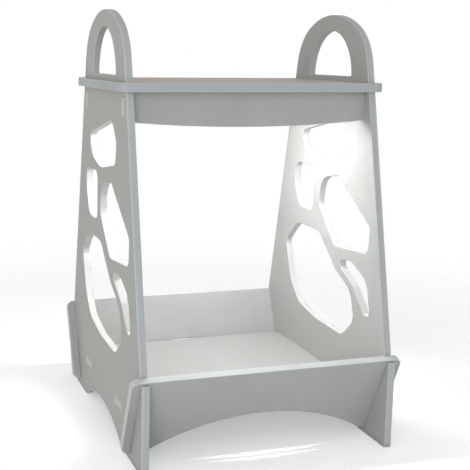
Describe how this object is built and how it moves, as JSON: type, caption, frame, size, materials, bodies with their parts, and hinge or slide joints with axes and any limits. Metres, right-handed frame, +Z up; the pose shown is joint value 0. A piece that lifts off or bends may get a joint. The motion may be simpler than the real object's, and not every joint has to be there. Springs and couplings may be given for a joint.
{
  "type": "plant stand with grow lights",
  "caption": "Slot-together plant stand with pierced leaning sides, arched handles, floor, leaning skirts and light bars under a top plate.",
  "frame": {"origin": "centre of the footprint, on the floor", "axes": "+Z up, -Y to the front, +X to the right seen from the front"},
  "size_m": [0.374, 0.403, 0.578],
  "materials": {
    "painted_board": "matt light grey painted sheet, 10 mm",
    "painted_plate": "matt light grey painted sheet, 12 mm",
    "aluminium_channel": "natural anodised extrusion",
    "milky_diffuser": "opal, lit from inside",
    "led_board": "white lacquered strip board",
    "grey_plastic": "moulded, satin",
    "spring_steel": "bent strip",
    "zinc_steel": "zinc plated",
    "white_cable": "smooth sheath",
    "cover_plastic": "moulded, matt",
    "black_plastic": "moulded, satin",
    "button_plastic": "moulded, gloss",
    "red_lead": "thin sheath"
  },
  "bodies": {
    "stand": {"cable_saddle": "grey_plastic", "clip_screw_front_left": "zinc_steel", "clip_screw_front_right": "zinc_steel", "clip_screw_rear_left": "zinc_steel", "clip_screw_rear_right": "zinc_steel", "cover_screw_left": "zinc_steel", "cover_screw_right": "zinc_steel", "front_skirt": "painted_board", "front_valance": "painted_board", "lead_socket_to_cable": "red_lead", "lead_socket_to_switch": "red_lead", "lead_switch_to_cable": "red_lead", "led_board_front": "led_board", "led_board_rear": "led_board", "left_side_panel": "painted_board", "light_channel_front": "aluminium_channel", "light_channel_rear": "aluminium_channel", "light_clip_front_left": "spring_steel", "light_clip_front_right": "spring_steel", "light_clip_rear_left": "spring_steel", "light_clip_rear_right": "spring_steel", "light_diffuser_front": "milky_diffuser", "light_diffuser_rear": "milky_diffuser", "light_end_cap_front_left": "grey_plastic", "light_end_cap_front_right": "grey_plastic", "light_end_cap_rear_left": "grey_plastic", "light_end_cap_rear_right": "grey_plastic", "link_cable": "white_cable", "power_socket": "black_plastic", "rear_skirt": "painted_board", "rear_valance": "painted_board", "right_side_panel": "painted_board", "shelf_floor": "painted_board", "socket_nut": "zinc_steel", "supply_cable": "white_cable", "switch_housing": "black_plastic", "top_plate": "painted_plate", "wiring_cover": "cover_plastic"},
    "rocker": {"rocker_button": "button_plastic"}
  },
  "joints": [
    {"name": "rocker_tilt", "type": "hinge", "parent": "stand", "child": "rocker", "pos_m": [-0.062, 0.106, 0.45], "axis": [0, 0, 1], "range_deg": [0, 20]}
  ]
}
